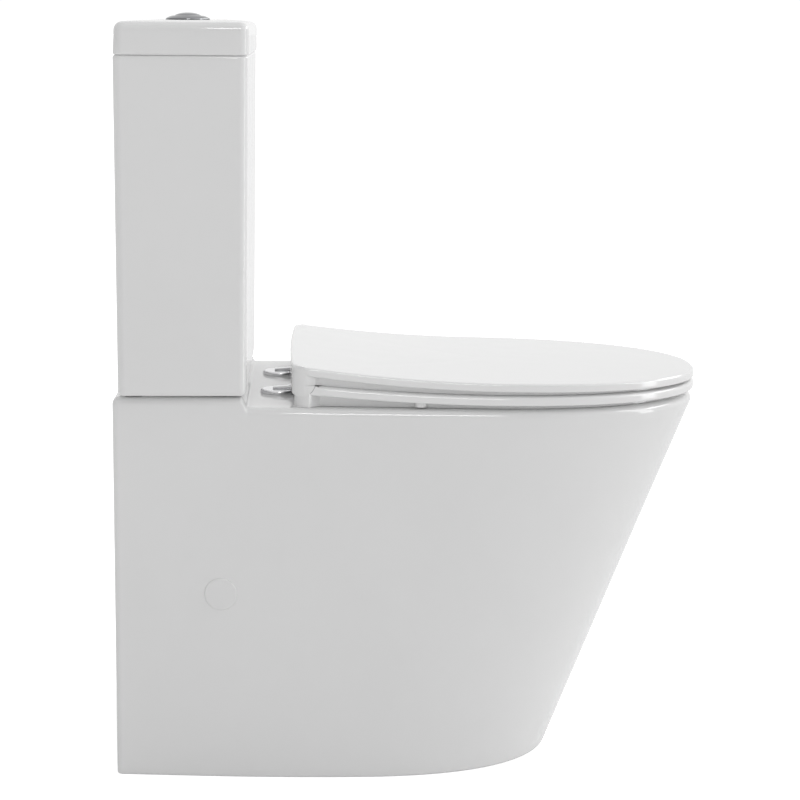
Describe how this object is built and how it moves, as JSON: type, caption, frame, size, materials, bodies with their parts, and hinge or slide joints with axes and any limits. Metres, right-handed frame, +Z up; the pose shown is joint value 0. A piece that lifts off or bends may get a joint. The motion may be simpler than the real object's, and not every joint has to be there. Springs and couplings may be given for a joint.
{
  "type": "close coupled toilet",
  "caption": "Back-to-wall close coupled toilet with a skirted pan, tapered front, slim hinged seat and lid, and a slab cistern with a round push button.",
  "frame": {"origin": "on the floor, under the middle of the overall box", "axes": "+Z up, the front faces -Y, the wall side is +Y, +X to the left of someone sitting on it"},
  "size_m": [0.369, 0.676, 0.8598],
  "materials": {
    "china": "glossy white glaze",
    "cap_plastic": "gloss",
    "seat_plastic": "polished thermoset plastic",
    "buffer_plastic": "soft matt",
    "chrome": "mirror",
    "steel": "plain",
    "rubber": "matt",
    "white_plastic": "satin",
    "grey_plastic": "satin",
    "blue_plastic": "satin",
    "red_plastic": "satin"
  },
  "bodies": {
    "toilet_body": {"pan_deck": "china", "pan_skirt": "china", "pan_bowl": "china", "pan_trap_throat": "china", "pan_trap_rise": "china", "pan_trap_fall": "china", "pan_flush_channel": "china", "side_caps": "cap_plastic", "cistern": "china", "cistern_lid": "china", "coupling_gasket": "rubber", "coupling_bolts": "steel", "coupling_rubber_washers": "rubber", "coupling_steel_washers": "steel", "coupling_wing_nuts": "white_plastic", "cistern_pads": "rubber", "hinge_plates": "white_plastic", "hinge_covers": "chrome", "hinge_posts": "chrome", "hinge_pins": "steel", "hinge_bolts": "steel", "hinge_bushes": "rubber", "hinge_washers": "steel", "hinge_wing_nuts": "white_plastic", "button_bezel": "chrome", "button_barrel": "white_plastic", "button_nut": "white_plastic", "full_spring": "steel", "half_spring": "steel", "flush_valve_base": "white_plastic", "flush_valve_washer": "rubber", "flush_valve_nut": "white_plastic", "flush_valve_cage": "white_plastic", "lever_pins": "steel", "fill_valve_riser": "white_plastic", "fill_valve_washer": "rubber", "fill_valve_nut": "white_plastic", "fill_valve_head": "blue_plastic", "float_lever_pin": "steel"},
    "seat_ring_body": {"seat_ring": "seat_plastic", "ring_buffers": "buffer_plastic"},
    "seat_lid_body": {"seat_lid": "seat_plastic", "lid_buffers": "buffer_plastic", "hinge_dampers": "grey_plastic"},
    "full_button_body": {"full_button": "chrome", "full_rod": "red_plastic"},
    "half_button_body": {"half_button": "chrome", "half_rod": "blue_plastic"},
    "canister_body": {"flush_canister": "blue_plastic", "flush_seal": "rubber"},
    "flush_lever_body": {"flush_lever": "red_plastic"},
    "half_latch_body": {"half_flush_latch": "blue_plastic"},
    "float_body": {"fill_valve_float": "grey_plastic"},
    "float_lever_body": {"float_lever": "white_plastic"}
  },
  "joints": [
    {"name": "seat_ring_hinge", "type": "hinge", "parent": "toilet_body", "child": "seat_ring_body", "pos_m": [0, 0.129, 0.456], "axis": [-1, 0, 0], "range_deg": [0, 95]},
    {"name": "seat_lid_hinge", "type": "hinge", "parent": "seat_ring_body", "child": "seat_lid_body", "pos_m": [0, 0.129, 0.456], "axis": [1, 0, 0], "range_deg": [-95, 0]},
    {"name": "full_button_press", "type": "slide", "parent": "toilet_body", "child": "full_button_body", "axis": [0, 0, -1], "range_m": [0, 0.006], "stiffness_N_per_m": 300, "springref_m": -0.006, "deforming": ["full_spring"]},
    {"name": "half_button_press", "type": "slide", "parent": "toilet_body", "child": "half_button_body", "axis": [0, 0, -1], "range_m": [0, 0.006], "stiffness_N_per_m": 300, "springref_m": -0.006, "deforming": ["half_spring"]},
    {"name": "canister_lift", "type": "slide", "parent": "toilet_body", "child": "canister_body", "axis": [0, 0, 1], "range_m": [0, 0.0068]},
    {"name": "flush_lever_turn", "type": "hinge", "parent": "toilet_body", "child": "flush_lever_body", "pos_m": [0.026, 0.258, 0.704], "axis": [0, -1, 0], "range_deg": [0, 23]},
    {"name": "half_latch_turn", "type": "hinge", "parent": "toilet_body", "child": "half_latch_body", "pos_m": [-0.026, 0.258, 0.704], "axis": [0, 1, 0], "range_deg": [0, 23]},
    {"name": "float_slide", "type": "slide", "parent": "toilet_body", "child": "float_body", "axis": [0, 0, 1], "range_m": [0, 0.016]},
    {"name": "float_lever_turn", "type": "hinge", "parent": "toilet_body", "child": "float_lever_body", "pos_m": [0.143, 0.272, 0.725], "axis": [0, 1, 0], "range_deg": [0, 23.5]}
  ],
  "couplings": [
    {"joint": "canister_lift", "follows": "full_button_press", "ratio": 1.1},
    {"joint": "flush_lever_turn", "follows": "full_button_press", "rad_per_m": 66},
    {"joint": "half_latch_turn", "follows": "half_button_press", "rad_per_m": 66},
    {"joint": "float_lever_turn", "follows": "float_slide", "rad_per_m": 25}
  ]
}
